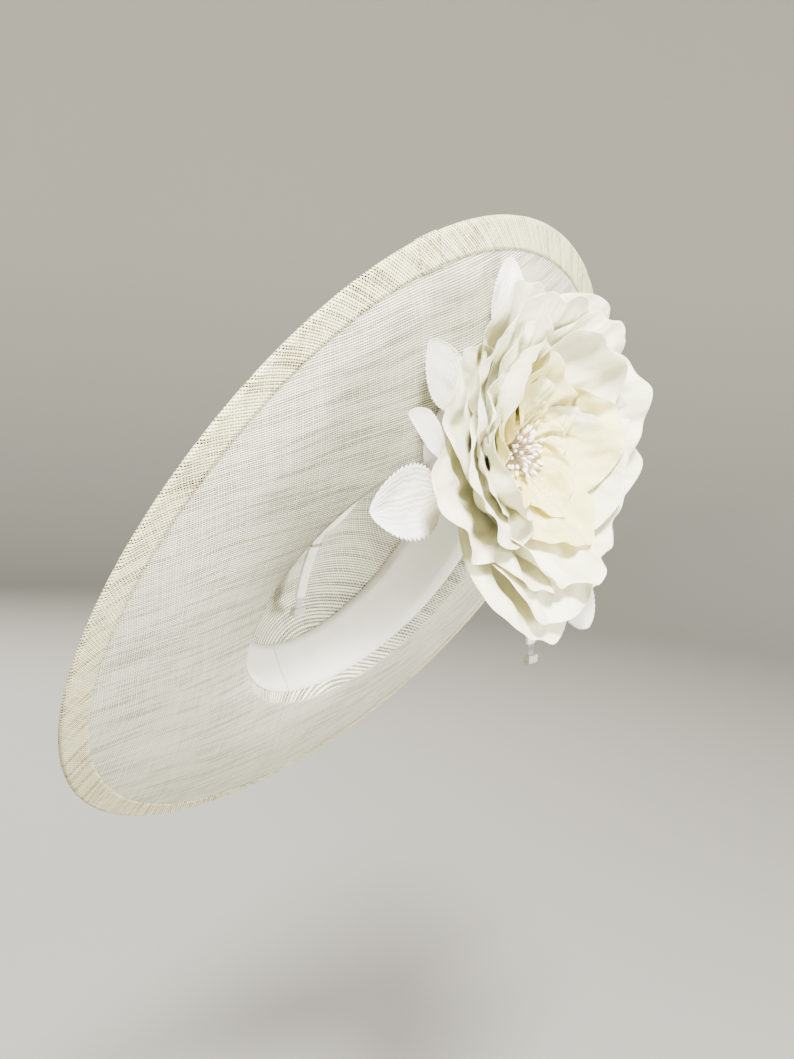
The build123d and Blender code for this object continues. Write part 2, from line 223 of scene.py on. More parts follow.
# ---- material helpers
class Shader:
    """Small builder for a node material."""

    def __init__(self, name):
        self.material = bpy.data.materials.new(name)
        self.material.use_nodes = True
        self.tree = self.material.node_tree
        self.tree.nodes.clear()
        self.output = self.node("ShaderNodeOutputMaterial")

    def node(self, kind, values=None, **settings):
        made = self.tree.nodes.new(kind)
        for key, value in settings.items():
            setattr(made, key, value)
        for key, value in (values or {}).items():
            self.plug(made.inputs[key], value)
        return made

    def plug(self, socket, value):
        if isinstance(value, bpy.types.NodeSocket):
            self.tree.links.new(value, socket)
        else:
            socket.default_value = value

    def math(self, operation, a, b=0.0, c=0.0):
        made = self.node("ShaderNodeMath", operation=operation)
        for socket, value in zip(made.inputs, (a, b, c)):
            self.plug(socket, value)
        return made.outputs[0]

    def uv(self):
        return self.node("ShaderNodeUVMap", uv_map="cloth").outputs[0]

    def objects(self):
        return self.node("ShaderNodeTexCoord").outputs["Object"]

    def mapped(self, vector, scale=(1, 1, 1), turn=0.0, shift=(0, 0, 0)):
        values = {"Vector": vector, "Scale": scale, "Rotation": (0, 0, turn), "Location": shift}
        return self.node("ShaderNodeMapping", values).outputs[0]

    def split(self, vector):
        return self.node("ShaderNodeSeparateXYZ", {"Vector": vector}).outputs

    def vector(self, x, y, z=0.0):
        return self.node("ShaderNodeCombineXYZ", {"X": x, "Y": y, "Z": z}).outputs[0]

    def noise(self, vector, scale, detail=2.0, roughness=0.5):
        values = {"Vector": vector, "Scale": scale, "Detail": detail, "Roughness": roughness}
        return self.node("ShaderNodeTexNoise", values).outputs["Fac"]

    def mix(self, factor, a, b):
        made = self.node("ShaderNodeMix", data_type="RGBA")
        self.plug(made.inputs["Factor"], factor)
        self.plug(made.inputs[6], a)
        self.plug(made.inputs[7], b)
        return made.outputs[2]

    def spread(self, value, low, high, new_low=0.0, new_high=1.0):
        values = {"Value": value, "From Min": low, "From Max": high, "To Min": new_low, "To Max": new_high}
        return self.node("ShaderNodeMapRange", values, clamp=True).outputs[0]

    def bump(self, height, distance, strength=1.0):
        values = {"Height": height, "Distance": distance, "Strength": strength}
        return self.node("ShaderNodeBump", values).outputs[0]

    def surface(self, colour, normal=None, **settings):
        """Principled surface; a setting is its socket's name, with underscores for the spaces."""
        values = {"Base Color": colour}
        if normal is not None:
            values["Normal"] = normal
        for key, value in settings.items():
            values[key.replace("_", " ")] = value
        return self.node("ShaderNodeBsdfPrincipled", values).outputs[0]

    def blend(self, factor, first, second):
        made = self.node("ShaderNodeMixShader", {"Fac": factor})
        self.tree.links.new(first, made.inputs[1])
        self.tree.links.new(second, made.inputs[2])
        return made.outputs[0]

    def finish(self, surface):
        self.tree.links.new(surface, self.output.inputs["Surface"])
        return self.material


def rgb(r, g, b):
    return (r, g, b, 1.0)


# painted shade: light through the gaps of the weave is tinted dark, so the holes look shadowed from either
# side
GAP_PAINTED_SHADE = rgb(0.25, 0.235, 0.16)
# painted shade at the very root of a petal, deep in the rose's cup by the stamens
ROOT_PAINTED_SHADE = rgb(0.40, 0.29, 0.12)
SILK_GLOW = rgb(0.98, 0.88, 0.52)

# how straw threads wander and change, in threads: size of the drift and its reach along each way
DRIFT_SCALE = 0.012
DRIFT_WARP = 14.0
DRIFT_WEFT = -11.0
# how slowly a thread's width changes along it, how far apart two neighbours are in the noise, and
# the noise values at which it is thinnest and fullest
WEFT_CHANGE = (0.035, 3.71, 0.34, 0.52)
WARP_CHANGE = (0.05, 5.13, 0.36, 0.62)
# height of a thread where it passes over and under
WEFT_OVER = (0.3, 0.7)
WARP_OVER = (-0.45, 0.75)
BLOTCH_SCALE = 14.0


def thread_shade(s, along, index, change, half, across=False):
    """Noise and half width of one set of threads; across swaps the noise's two axes."""
    pace, stride, low, high = change
    where = (s.math("MULTIPLY", along, pace), s.math("MULTIPLY", index, stride))
    shade = s.noise(s.vector(*(reversed(where) if across else where)), 1.0, 1.0)
    return shade, s.spread(shade, low, high, half[0], half[1])


def thread_height(s, off, width, inside, crossing, over):
    """Round profile of a thread, higher where it passes over the other one."""
    rounded = s.math("SUBTRACT", 1.0, s.math("POWER", s.math("DIVIDE", off, width), 2.0))
    up = s.math("MULTIPLY_ADD", crossing, over[0], over[1])
    return s.math("MULTIPLY", s.math("MULTIPLY", rounded, inside), up)


def straw_cloth(name, pitch, turn, shift, pale, deep, weft_half, warp_half, through):
    """Open plain weave of straw: uneven threads, see-through gaps tinted dark as painted shade, dark lines
    along the weft, and painted shade where the threads run low.
    """
    s = Shader(name)
    place = s.mapped(s.uv(), (1 / pitch, 1 / pitch, 1), turn, shift)
    drift = s.math("SUBTRACT", s.noise(place, DRIFT_SCALE, 1.0), 0.5)
    a, b, _ = s.split(place)
    a = s.math("MULTIPLY_ADD", drift, DRIFT_WARP, a)
    b = s.math("MULTIPLY_ADD", drift, DRIFT_WEFT, b)
    warp = s.math("FLOOR", a)
    weft = s.math("FLOOR", b)
    off_warp = s.math("ABSOLUTE", s.math("SUBTRACT", s.math("FRACT", a), 0.5))
    off_weft = s.math("ABSOLUTE", s.math("SUBTRACT", s.math("FRACT", b), 0.5))
    weft_shade, half_weft = thread_shade(s, a, weft, WEFT_CHANGE, weft_half)
    warp_shade, half_warp = thread_shade(s, b, warp, WARP_CHANGE, warp_half, across=True)
    in_weft = s.math("LESS_THAN", off_weft, half_weft)
    in_warp = s.math("LESS_THAN", off_warp, half_warp)
    crossing = s.math("FLOORED_MODULO", s.math("ADD", warp, weft), 2.0)
    height = s.math(
        "MAXIMUM",
        thread_height(s, off_weft, half_weft, in_weft, crossing, WEFT_OVER),
        thread_height(s, off_warp, half_warp, in_warp, crossing, WARP_OVER),
    )
    tone = s.math("MULTIPLY_ADD", weft_shade, 1.2, s.math("MULTIPLY", warp_shade, 0.5))
    blotch = s.spread(s.noise(s.uv(), BLOTCH_SCALE, 3.0), 0.3, 0.7, -0.05, 0.10)
    tone = s.math("ADD", s.spread(tone, 0.65, 1.05, -0.13, 0.12), blotch)
    # painted shade: the cloth is darker where a thread runs low, at its edges and where it passes under the
    # other set
    tone = s.math("ADD", s.spread(height, 0.1, 0.75), tone)
    colour = s.mix(s.spread(tone, 0.0, 1.0), deep, pale)
    normal = s.bump(height, 0.25 * pitch, 0.7)
    cloth = s.surface(colour, normal, Roughness=0.5, Specular_IOR_Level=0.35)
    glow = s.node("ShaderNodeBsdfTranslucent", {"Color": colour, "Normal": normal})
    lit = s.blend(through, cloth, glow.outputs[0])
    # painted shade: a gap passes light tinted dark, as if the hole were in shadow
    gap = s.node("ShaderNodeBsdfTransparent", {"Color": GAP_PAINTED_SHADE})
    return s.finish(s.blend(s.math("MAXIMUM", in_weft, in_warp), gap.outputs[0], lit))


def silk(name, pale, deep, root_share, through=0.22, roughness=0.30, root_painted_shade=0.0):
    """Stiffened satin: fine weave, soft veins from the root, deeper colour towards the root, and painted
    shade at the very root where asked for.
    """
    s = Shader(name)
    u, v, _ = s.split(s.uv())
    veins = s.math("SINE", s.math("MULTIPLY_ADD", u, 70.0, s.math("MULTIPLY", s.noise(s.uv(), 6.0), 12.0)))
    cloud = s.noise(s.objects(), 60.0, 3.0)
    depth = s.spread(v, 0.0, root_share, 1.0, 0.0)
    depth = s.math("ADD", depth, s.spread(cloud, 0.35, 0.75, -0.08, 0.22))
    colour = s.mix(s.spread(depth, 0.0, 1.0), pale, deep)
    # painted shade: the root of a petal darkens towards the stamens
    colour = s.mix(s.spread(v, 0.04, root_share * 0.45, root_painted_shade, 0.0), colour, ROOT_PAINTED_SHADE)
    weave = s.noise(s.mapped(s.uv(), (900, 260, 1)), 1.0, 1.0)
    crumple = s.noise(s.objects(), 130.0, 4.0, 0.6)
    height = s.math("ADD", s.math("MULTIPLY", veins, 0.12), s.math("MULTIPLY", weave, 0.15))
    height = s.math("ADD", height, s.math("MULTIPLY", crumple, 0.9))
    normal = s.bump(height, 1.2 * MM, 0.8)
    gloss = {"Specular_IOR_Level": 0.65, "Sheen_Weight": 0.25, "Sheen_Roughness": 0.35}
    cloth = s.surface(colour, normal, Roughness=roughness, **gloss)
    warm = s.mix(0.5, colour, SILK_GLOW)
    glow = s.node("ShaderNodeBsdfTranslucent", {"Color": warm, "Normal": normal})
    return s.finish(s.blend(through, cloth, glow.outputs[0]))


def felt(name, pale, deep):
    s = Shader(name)
    fluff = s.noise(s.objects(), 900.0, 4.0, 0.7)
    patch = s.noise(s.objects(), 90.0, 2.0)
    colour = s.mix(s.math("MULTIPLY_ADD", fluff, 0.6, s.math("MULTIPLY", patch, 0.4)), deep, pale)
    normal = s.bump(fluff, 0.4 * MM, 0.7)
    return s.finish(s.surface(colour, normal, Roughness=0.95, Sheen_Weight=0.4))


def grosgrain(name, pale, deep, rib):
    """Ribbed ribbon, its ribs across the length."""
    s = Shader(name)
    along = s.split(s.uv())[0]
    ribs = s.math("SINE", s.math("MULTIPLY", along, 2 * pi / rib))
    wear = s.noise(s.uv(), 60.0, 3.0)
    colour = s.mix(s.math("MULTIPLY_ADD", ribs, 0.25, wear), deep, pale)
    normal = s.bump(ribs, 0.15 * MM, 0.8)
    return s.finish(s.surface(colour, normal, Roughness=0.6))


def wrapped_satin(name, pale, deep, lap):
    """Satin bias tape wound along a band, a shallow step at each lap."""
    s = Shader(name)
    u, v, _ = s.split(s.uv())
    wind = s.math("FRACT", s.math("ADD", s.math("DIVIDE", u, lap), s.math("MULTIPLY", v, 0.5)))
    threads = s.noise(s.mapped(s.uv(), (400, 2500, 1)), 1.0, 1.0)
    soft = s.noise(s.objects(), 120.0, 2.0)
    colour = s.mix(s.math("MULTIPLY_ADD", wind, 0.5, s.math("MULTIPLY", soft, 0.5)), deep, pale)
    normal = s.bump(s.math("ADD", wind, s.math("MULTIPLY", threads, 0.15)), 0.3 * MM, 0.7)
    return s.finish(s.surface(colour, normal, Roughness=0.35, Sheen_Weight=0.3))


def thread_wrap(name, pale, deep, pitch):
    """Fine thread or paper tape wound round a wire."""
    s = Shader(name)
    x, y, z = s.split(s.objects())
    along = s.math("ADD", s.math("ADD", x, y), z)
    turns = s.math("SINE", s.math("MULTIPLY", along, 2 * pi / pitch))
    fuzz = s.noise(s.objects(), 800.0, 2.0)
    colour = s.mix(s.math("MULTIPLY_ADD", turns, 0.25, fuzz), deep, pale)
    normal = s.bump(turns, 0.1 * MM, 0.6)
    return s.finish(s.surface(colour, normal, Roughness=0.75))


def pearl(name, pale, deep):
    s = Shader(name)
    tint = s.noise(s.objects(), 260.0, 2.0)
    colour = s.mix(s.spread(tint, 0.35, 0.65), deep, pale)
    normal = s.bump(s.noise(s.objects(), 700.0, 2.0), 0.15 * MM, 0.3)
    return s.finish(s.surface(colour, normal, Roughness=0.28, Coat_Weight=0.4, Coat_Roughness=0.15))


def steel(name):
    s = Shader(name)
    brushed = s.noise(s.mapped(s.objects(), (3000, 300, 300)), 1.0, 2.0)
    colour = s.mix(brushed, rgb(0.55, 0.55, 0.56), rgb(0.72, 0.72, 0.73))
    return s.finish(s.surface(colour, Metallic=1.0, Roughness=s.spread(brushed, 0.3, 0.7, 0.25, 0.45)))


def wall_paint(name, floor, wall, low, high):
    """Matt paint, from the floor's tone at the low height to the wall's at the high one."""
    s = Shader(name)
    soft = s.noise(s.objects(), 1.2, 2.0)
    _, _, height = s.split(s.objects())
    colour = s.mix(s.spread(height, low, high), floor, wall)
    tone = s.mix(s.math("MULTIPLY", soft, 0.06), colour, rgb(0.1, 0.1, 0.1))
    return s.finish(s.surface(tone, Roughness=0.9))


# colours
# the deep straw and binding colours are partly the threads' own darker tone and partly painted shade where
# threads run low
STRAW_PALE = rgb(0.98, 0.97, 0.79)
STRAW_DEEP_TONE_AND_PAINTED_SHADE = rgb(0.22, 0.20, 0.12)
BINDING_PALE = rgb(0.94, 0.90, 0.58)
BINDING_DEEP_TONE_AND_PAINTED_SHADE = rgb(0.24, 0.18, 0.07)
SILK_PALE = rgb(0.93, 0.915, 0.70)
SILK_DEEP = rgb(0.89, 0.81, 0.42)
CREAM_PALE = rgb(0.97, 0.93, 0.50)
CREAM_DEEP = rgb(0.95, 0.81, 0.24)
LEAF_PALE = rgb(0.98, 0.97, 0.92)
LEAF_DEEP = rgb(0.90, 0.87, 0.72)
WRAP_PALE = rgb(0.90, 0.88, 0.79)
WRAP_DEEP = rgb(0.74, 0.70, 0.58)
PEARL_PALE = rgb(0.93, 0.86, 0.85)
PEARL_DEEP = rgb(0.76, 0.64, 0.63)
WALL = rgb(0.345, 0.33, 0.28)
FLOOR = rgb(0.25, 0.24, 0.21)

STRAW_PITCH = 1.35 * MM
STRAW_LOOK = (STRAW_PALE, STRAW_DEEP_TONE_AND_PAINTED_SHADE, (0.23, 0.385), (0.25, 0.35), 0.3)
BINDING_PITCH = 1.5 * MM
BINDING_LOOK = (BINDING_PALE, BINDING_DEEP_TONE_AND_PAINTED_SHADE, (0.20, 0.42), (0.24, 0.40), 0.2)
UNDER_STRAW = straw_cloth("straw_under", STRAW_PITCH, -GRAIN_TURN, (0.3, 0.2, 0), *STRAW_LOOK)
TOP_STRAW = straw_cloth("straw_top", STRAW_PITCH, -GRAIN_TURN, (0.7, 0.6, 0), *STRAW_LOOK)
BINDING_STRAW = straw_cloth("straw_binding", BINDING_PITCH, radians(45), (0, 0, 0), *BINDING_LOOK)
SILK = silk("silk", SILK_PALE, SILK_DEEP, 0.35)
CREAM_SILK = silk("silk_cream", CREAM_PALE, CREAM_DEEP, 0.9, 0.36, root_painted_shade=0.85)
LEAF_CLOTH = silk("leaf_cloth", LEAF_PALE, LEAF_DEEP, 0.4, 0.15, 0.5)
FELT = felt("felt", rgb(0.91, 0.89, 0.81), rgb(0.80, 0.77, 0.67))
RIBBON = grosgrain("ribbon", rgb(0.92, 0.90, 0.82), rgb(0.80, 0.77, 0.67), 0.9 * MM)
SATIN = wrapped_satin("satin", rgb(0.90, 0.87, 0.78), rgb(0.78, 0.74, 0.62), 9 * MM)
WRAP = thread_wrap("stem_wrap", WRAP_PALE, WRAP_DEEP, 1.2 * MM)
# dark brown thread: on the stamen filaments it stands in for painted shade among the stamens; the headband
# stitches share it
THREAD_AND_PAINTED_SHADE = thread_wrap("thread", rgb(0.50, 0.38, 0.28), rgb(0.26, 0.18, 0.12), 0.5 * MM)
PEARL = pearl("pearl", PEARL_PALE, PEARL_DEEP)
STEEL = steel("steel")


def dress(obj, material, slot, body, *nodes):
    """Gives a piece its material and body, and lets it stand for CAD nodes; its slot is not used."""
    obj.data.materials.clear()
    obj.data.materials.append(material)
    if nodes:
        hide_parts(*nodes)
    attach(obj, body)
    return obj


# ---- brim, crown and binding
STRAW_THICKNESS = 0.4 * MM
TURNS = 264
CROWN_RINGS = 26
BRIM_RINGS = 46


def cloth_layer(name, node, lift, material):
    """One blocked layer of straw cloth, crown and brim in one sheet, its UV the flat plan in metres."""
    points = []
    uvs = []
    for ring in range(1, CROWN_RINGS + BRIM_RINGS + 1):
        for step in range(TURNS):
            turn = 2 * pi * step / TURNS
            ox = OPENING_CENTRE[0] + OPENING_LONG * cos(turn)
            oy = OPENING_CENTRE[1] + OPENING_SHORT * sin(turn)
            if ring <= CROWN_RINGS:
                share = ring / CROWN_RINGS
                x = OPENING_CENTRE[0] + (ox - OPENING_CENTRE[0]) * share
                y = OPENING_CENTRE[1] + (oy - OPENING_CENTRE[1]) * share
            else:
                share = (ring - CROWN_RINGS) / BRIM_RINGS
                x = ox + (RIM_RADIUS * cos(turn) - ox) * share
                y = oy + (RIM_RADIUS * sin(turn) - oy) * share
            points.append(hat_point(x, y, lift))
            uvs.append((x, y))
    faces = grid_faces(CROWN_RINGS + BRIM_RINGS, TURNS, closed=True)
    points.append(hat_point(*OPENING_CENTRE, lift))
    uvs.append(OPENING_CENTRE)
    hub = len(points) - 1
    for step in range(TURNS):
        faces.append((hub, (step + 1) % TURNS, step))
    obj = make_mesh(name, points, faces, uvs)
    thicken(obj, STRAW_THICKNESS)
    return dress(obj, material, "sinamay", "hat", node)


brim_under = cloth_layer("brim_under_cloth", "brim_inner_layer", LAYER / 2, UNDER_STRAW)
brim_top = cloth_layer("brim_top_cloth", "brim_outer_layer", LAYER * 1.5 + LAYER_GAP, TOP_STRAW)

BINDING_WIDTH = 12.5 * MM
BINDING_BULGE = 1.45 * MM
BINDING_OUT = 2.4 * MM
BINDING_FLAT = 0.9 * MM
BINDING_FLARE = 0.35 * MM
FLAP_POINTS = 7
FOLD_POINTS = 8
WANDER = 0.5 * MM
WANDER_PACE = 3
WANDER_SEED = 1.7
RUCK = 0.12 * MM
RUCK_PACE = 90
RUCK_ACROSS = 200
JOIN_TURN = radians(155)
JOIN_LENGTH = 16.0 * MM
JOIN_SWELL = 0.45 * MM
BINDING_STEPS = 420
JOIN_STEPS = 10


def binding_profile(swell):
    """Points across the folded strip, as distance out from the rim and lift from the cloth's middle."""
    shares = [i / (FLAP_POINTS - 1) for i in range(FLAP_POINTS)]
    flat = BINDING_FLAT + swell
    flap = [(-BINDING_WIDTH * (1 - share), flat + BINDING_FLARE * share ** 3) for share in shares]
    points = [(out, -lift) for out, lift in flap]
    for i in range(1, FOLD_POINTS):
        turn = -pi / 2 + pi * i / FOLD_POINTS
        points.append(((BINDING_OUT + swell) * cos(turn), (BINDING_BULGE + swell) * sin(turn)))
    return points + flap[::-1]


def binding_strip(name, start, end, steps, swell):
    """Folded bias strip between two angles round the rim, a little uneven as hand-sewn ones are."""
    profile = binding_profile(swell)
    lengths = [0.0]
    for before, after in zip(profile, profile[1:]):
        lengths.append(lengths[-1] + hypot(after[0] - before[0], after[1] - before[1]))
    points = []
    uvs = []
    for step in range(steps + 1):
        turn = start + (end - start) * step / steps
        seed = Vector((WANDER_PACE * cos(turn), WANDER_PACE * sin(turn), WANDER_SEED))
        wander = WANDER * noise.noise(seed)
        for (out, lift), length in zip(profile, lengths):
            pull = wander * min(1.0, -out / BINDING_WIDTH) if out < 0 else 0.0
            reach = RIM_RADIUS + out + pull
            where = Vector((RUCK_PACE * cos(turn), RUCK_PACE * sin(turn), RUCK_ACROSS * out))
            ruck = (RUCK if lift > 0 else -RUCK) * noise.noise(where)
            points.append(hat_point(reach * cos(turn), reach * sin(turn), CLOTH / 2 + lift + ruck))
            uvs.append((RIM_RADIUS * turn, length))
    faces = grid_faces(steps + 1, len(profile))
    obj = make_mesh(name, points, faces, uvs)
    return thicken(obj, STRAW_THICKNESS)


binding = binding_strip("edge_binding_strip", JOIN_TURN, JOIN_TURN + 2 * pi, BINDING_STEPS, 0.0)
dress(binding, BINDING_STRAW, "sinamay_binding", "hat", "edge_binding")
JOIN_HALF = JOIN_LENGTH / RIM_RADIUS / 2
lap = binding_strip("edge_binding_lap", JOIN_TURN - JOIN_HALF, JOIN_TURN + JOIN_HALF, JOIN_STEPS, JOIN_SWELL)
dress(lap, BINDING_STRAW, "sinamay_binding", "hat")

# ---- inside the crown
RIBBON_CUT = (0.55, 0.040)
RIBBON_WIDTH = 0.025
RIBBON_INNER = 0.80
RIBBON_OUTER = 0.96
RIBBON_THICKNESS = 0.45 * MM
RIBBON_BELOW = 0.75 * MM
RIBBON_EASE = 0.25 * MM
RIBBON_EASES = 23
RIBBON_ROWS = 6
RIBBON_STEPS = 200


def headsize_ribbon():
    """Ribbon that lines the head opening, its upper edge eased into small waves."""
    points = []
    uvs = []
    for row in range(RIBBON_ROWS):
        down = row / (RIBBON_ROWS - 1)
        share = RIBBON_INNER + (RIBBON_OUTER - RIBBON_INNER) * down
        for step in range(RIBBON_STEPS + 1):
            turn = 2 * pi * step / RIBBON_STEPS
            x = OPENING_CENTRE[0] + OPENING_LONG * share * cos(turn)
            y = OPENING_CENTRE[1] + OPENING_SHORT * share * sin(turn)
            ease = RIBBON_EASE * sin(RIBBON_EASES * turn) * (1 - down)
            points.append(hat_point(x, y, -RIBBON_BELOW - ease))
            uvs.append((RIBBON_CUT[0] * turn / (2 * pi), RIBBON_WIDTH * down))
    obj = make_mesh("headsize_ribbon_cloth", points, grid_faces(RIBBON_ROWS, RIBBON_STEPS + 1), uvs)
    thicken(obj, RIBBON_THICKNESS)
    return dress(obj, RIBBON, "ribbon", "hat", "headsize_ribbon")


headsize_ribbon()

PAD_FLAT = 0.96
PAD_EDGE_POINTS = 6
PAD_STEPS = 48
PAD_RINGS = 6
DISC_RINGS = 5


def pad_points(place, radius, top, bottom, rings):
    """Closed round pad: an upper face, a rounded edge and a lower face."""
    flat = [radius * PAD_FLAT * i / rings for i in range(1, rings + 1)]
    layers = [(reach, top) for reach in flat]
    middle = (top + bottom) / 2
    half = (top - bottom) / 2
    for i in range(1, PAD_EDGE_POINTS):
        turn = pi / 2 - pi * i / PAD_EDGE_POINTS
        layers.append((radius * (PAD_FLAT + (1 - PAD_FLAT) * cos(turn)), middle + half * sin(turn)))
    layers += [(reach, bottom) for reach in reversed(flat)]
    points = []
    for reach, lift in layers:
        for step in range(PAD_STEPS):
            turn = 2 * pi * step / PAD_STEPS
            points.append(place(reach * cos(turn), reach * sin(turn), lift))
    faces = grid_faces(len(layers), PAD_STEPS, closed=True)
    points.append(place(0, 0, top))
    points.append(place(0, 0, bottom))
    first = len(points) - 2
    last = (len(layers) - 1) * PAD_STEPS
    for step in range(PAD_STEPS):
        after = (step + 1) % PAD_STEPS
        faces.append((first, after, step))
        faces.append((first + 1, last + step, last + after))
    return points, faces


def felt_pad(name, place, radius, top, bottom, rings, node):
    points, faces = pad_points(place, radius, top, bottom, rings)
    obj = make_mesh(name, points, faces, [(0, 0)] * len(points))
    return dress(obj, FELT, "felt", "hat", node)


def hat_pad(name, at, radius, thickness, node):
    """Felt pad glued under the cloth at a point of the hat's plan."""
    def place(x, y, lift):
        return hat_point(at[0] + x, at[1] + y, lift)

    return felt_pad(name, place, radius, -PAD_GLUE, -thickness, PAD_RINGS, node)


PAD_GLUE = 0.2 * MM
CROWN_PAD_AT = (-9.0 * MM, 2.0 * MM)
CROWN_PAD_RADIUS = 26 * MM
CROWN_PAD_THICKNESS = 4.0 * MM
crown_pad = hat_pad("crown_pad_felt", CROWN_PAD_AT, CROWN_PAD_RADIUS, CROWN_PAD_THICKNESS, "crown_pad")

# ---- the rose's own frame
FLOWER_BASE = Vector((51.7, -33.1, 9.2)) * MM
FLOWER_TURN = radians(-11.4)
FLOWER_RISE = radians(9.0)
AXIS = Vector((cos(FLOWER_RISE) * cos(FLOWER_TURN), cos(FLOWER_RISE) * sin(FLOWER_TURN), sin(FLOWER_RISE)))
ACROSS = Vector((-sin(FLOWER_TURN), cos(FLOWER_TURN), 0))
ALOFT = AXIS.cross(ACROSS)


def rose_point(x, y, z):
    """A point of the rose's frame, +X to its right as seen from its face, +Y up, +Z out of its face."""
    return FLOWER_BASE + ACROSS * x + ALOFT * y + AXIS * z


FELT_THICKNESS = 2.0 * MM
FLOWER_PAD_RADIUS = 24 * MM
FLOWER_DISC_RADIUS = 20 * MM
flower_at = (FLOWER_BASE - HAT_CENTRE).dot(HAT_X), (FLOWER_BASE - HAT_CENTRE).dot(HAT_Y)
flower_pad = hat_pad("flower_pad_felt", flower_at, FLOWER_PAD_RADIUS, FELT_THICKNESS, "flower_pad")
flower_disc = felt_pad(
    "flower_disc_felt", rose_point, FLOWER_DISC_RADIUS, 0.0, -FELT_THICKNESS, DISC_RINGS, "flower_disc"
)

# looks of a kind of petal: outward curl of the edge, ruffle, ripples round it, sideways tilt,
# depth of the dents, crumple, and its silk
OUTER_LOOK = (8, 2.8, 4, 4.5, 5.4, 2.6, SILK, "silk")
SECOND_LOOK = (6, 2.6, 4, 5.0, 5.2, 2.6, SILK, "silk")
THIRD_LOOK = (-6, 2.0, 3, 5.0, 4.4, 2.0, SILK, "silk")
FOURTH_LOOK = (2, 3.6, 5, 4.0, 2.6, 3.6, CREAM_SILK, "silk_cream")
INNER_LOOK = (4, 4.0, 5, 3.4, 2.0, 5.0, CREAM_SILK, "silk_cream")
FRILL_LOOK = (4, 2.4, 4, 4.0, 4.6, 2.6, SILK, "silk")
HEART_LOOK = (3, 3.4, 4, 3.0, 1.6, 4.5, CREAM_SILK, "silk_cream")
# one entry per ring: name, petals, radius, height at the tip, height at the root, half width, look
ROWS = (
    ("outer", 7, 83, 43, 3.4, 44, OUTER_LOOK),
    ("second", 6, 75, 50, 6.2, 45, SECOND_LOOK),
    ("third", 5, 62, 53, 9.0, 42, THIRD_LOOK),
    ("fourth", 4, 48, 50, 11.8, 36, FOURTH_LOOK),
    ("inner", 3, 34, 41, 14.6, 27, INNER_LOOK),
)
ROW_TURN = 0.38
ROW_LEVEL = 0.75
ROW_STRAY = 0.10
# petals between the rings: turn in degrees, radius, height at the tip, height at the root, half width
FRILL_PETALS = (
    (12, 70, 45, 7.6, 34), (52, 73, 46, 7.8, 33), (98, 66, 46, 7.6, 32), (150, 60, 48, 7.8, 30),
    (205, 58, 48, 7.6, 30), (250, 66, 46, 7.8, 33), (285, 70, 45, 7.6, 33), (325, 66, 46, 7.8, 33),
)
FRILL_SEED = 80
# small crumpled petals round the stamens, in the same terms
HEART_PETALS = (
    (15, 27, 32, 15.4, 15), (80, 28, 35, 15.4, 16), (145, 26, 33, 15.4, 14), (210, 28, 32, 15.4, 15),
    (285, 27, 30, 15.4, 16),
)
HEART_SEED = 60

PETAL_ROOT = 3.4 * MM
PETAL_CURL = 1.4
PETAL_THICKNESS = 0.3 * MM
# where the bloom's outline swells or draws in: angle in degrees, share of the radius, sharpness
PETAL_SWELLS = ((-95.0, 0.17, 2), (40.0, 0.13, 2), (-45.0, -0.12, 4))
# lean towards the bloom's middle on its left side, and the radii between which it comes in
PETAL_CLOSING = 8.0 * MM
CLOSING_FROM = 40 * MM
CLOSING_FULL = 75 * MM
PETAL_RINGS = 16
PETAL_STEPS = 64
# how far one petal strays from the next
LENGTH_STRAY = 0.06
WIDTH_STRAY = 0.14
LEAN_STRAY = 3.0 * MM
NOTCH_STRAY = 0.35
# outline: notch at the top, scallops, and the width at the root
NOTCH_DEPTH = 0.055
NOTCH_WIDTH = 0.15
SCALLOP = 0.02
SCALLOPS = 5
SCALLOP_STRAY = 0.03
ROOT_WIDTH = 0.34
TIGHTEST_BOWL = 0.34
# dents pressed in with a warm ball tool
DENTS = 6
DENT_SIZE = 0.13
DENT_SIZE_STRAY = 0.10
DENT_SIDE_STRAY = 1.3
DENT_MIDDLE = 0.70
DENT_ALONG_STRAY = 0.28
# bumps all over or only near the edge: height, waves across, waves along, seed, near the edge
PETAL_BUMPS = (
    (1.8 * MM, 2.6, 3.1, 0, False),
    (2.8 * MM, 5.0, 6.0, 12, True),
    (0.9 * MM, 8.5, 8.0, 31, False),
    (0.3 * MM, 14.0, 16.0, 3, True),
)
RIDGE_HEIGHT = 1.3 * MM
RUFFLE_SHARE = 0.75
CRUMPLE_SHARE = 0.5


def smooth_step(low, high, value):
    share = min(max((value - low) / (high - low), 0.0), 1.0)
    return share * share * (3 - 2 * share)


def ridged(where):
    """Noise with sharp folds."""
    return 1 - 2 * abs(noise.noise(where)) * 1.6


def petal_reach(turn):
    """Length of a petal as a share of its row's radius: the bloom isn't quite round."""
    reach = 1.0
    for at, amount, sharpness in PETAL_SWELLS:
        reach += amount * max(0.0, cos(turn - radians(at))) ** sharpness
    return reach


def petal_dents(wild, dent):
    """Place, size and depth of each dent."""
    dents = []
    for i in range(DENTS):
        where = noise.noise_vector(wild + Vector((11 * i, 3, 1)))
        size = DENT_SIZE + DENT_SIZE_STRAY * abs(where.y)
        along = DENT_MIDDLE + DENT_ALONG_STRAY * where.z
        dents.append((DENT_SIDE_STRAY * where.x, along, size, dent * MM * (0.7 + where.y)))
    return dents


def petal_samples():
    """Points of a round grid, as share of its radius and angle."""
    samples = [(0.0, 0.0)]
    for ring in range(1, PETAL_RINGS + 1):
        for step in range(PETAL_STEPS):
            samples.append((ring / PETAL_RINGS, 2 * pi * step / PETAL_STEPS))
    return samples


